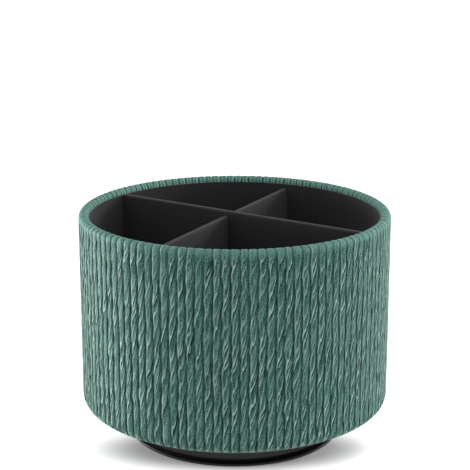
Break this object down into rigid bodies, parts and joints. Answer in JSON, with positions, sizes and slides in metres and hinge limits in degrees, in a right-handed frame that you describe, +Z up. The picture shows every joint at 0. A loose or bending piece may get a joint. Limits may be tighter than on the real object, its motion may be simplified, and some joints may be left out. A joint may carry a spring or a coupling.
{
  "type": "rotating pen holder",
  "caption": "Round leather-wrapped desk organizer with open compartments, turning on a low black swivel base.",
  "frame": {"origin": "centre of the plane that the rubber feet stand on, on the drum's axis", "axes": "+Z up along the drum's axis, +X along the main divider, +Y towards the narrower compartments"},
  "size_m": [0.184, 0.184, 0.1373],
  "materials": {
    "green_leather": "crinkled, satin",
    "black_lining": "matte",
    "shell_plastic": "moulded",
    "fibreboard": "raw board",
    "black_card": "matte",
    "black_plastic": "satin",
    "zinc_steel": "zinc plated",
    "bearing_steel": "ground",
    "acetal": "moulded",
    "rubber": "matte"
  },
  "bodies": {
    "base": {"base_housing": "black_plastic", "lower_race": "bearing_steel", "pivot_bush": "acetal", "foot_pad_1": "rubber", "foot_pad_2": "rubber", "foot_pad_3": "rubber", "foot_pad_4": "rubber", "foot_pad_5": "rubber", "foot_pad_6": "rubber"},
    "cage": {"ball_cage": "acetal", "bearing_balls": "bearing_steel"},
    "drum": {"leather_wrap": "green_leather", "drum_shell": "shell_plastic", "wall_lining": "black_lining", "main_divider_board": "fibreboard", "cross_divider_board": "fibreboard", "main_divider_cover": "black_lining", "cross_divider_cover": "black_lining", "bottom_cover": "black_card", "turntable_plate": "black_plastic", "plate_screws": "zinc_steel", "pivot_screw": "zinc_steel", "thrust_washer": "zinc_steel", "lock_nut": "zinc_steel", "upper_race": "bearing_steel", "floor_pad_front_right": "black_lining", "floor_pad_front_left": "black_lining", "floor_pad_back_left": "black_lining", "floor_pad_back_right": "black_lining"}
  },
  "joints": [
    {"name": "drum_spin", "type": "hinge", "parent": "base", "child": "drum", "pos_m": [0, 0, 0.012], "axis": [0, 0, 1], "continuous": true},
    {"name": "cage_orbit", "type": "hinge", "parent": "base", "child": "cage", "pos_m": [0, 0, 0.012], "axis": [0, 0, 1], "continuous": true}
  ],
  "couplings": [
    {"joint": "cage_orbit", "follows": "drum_spin", "ratio": 0.5}
  ]
}
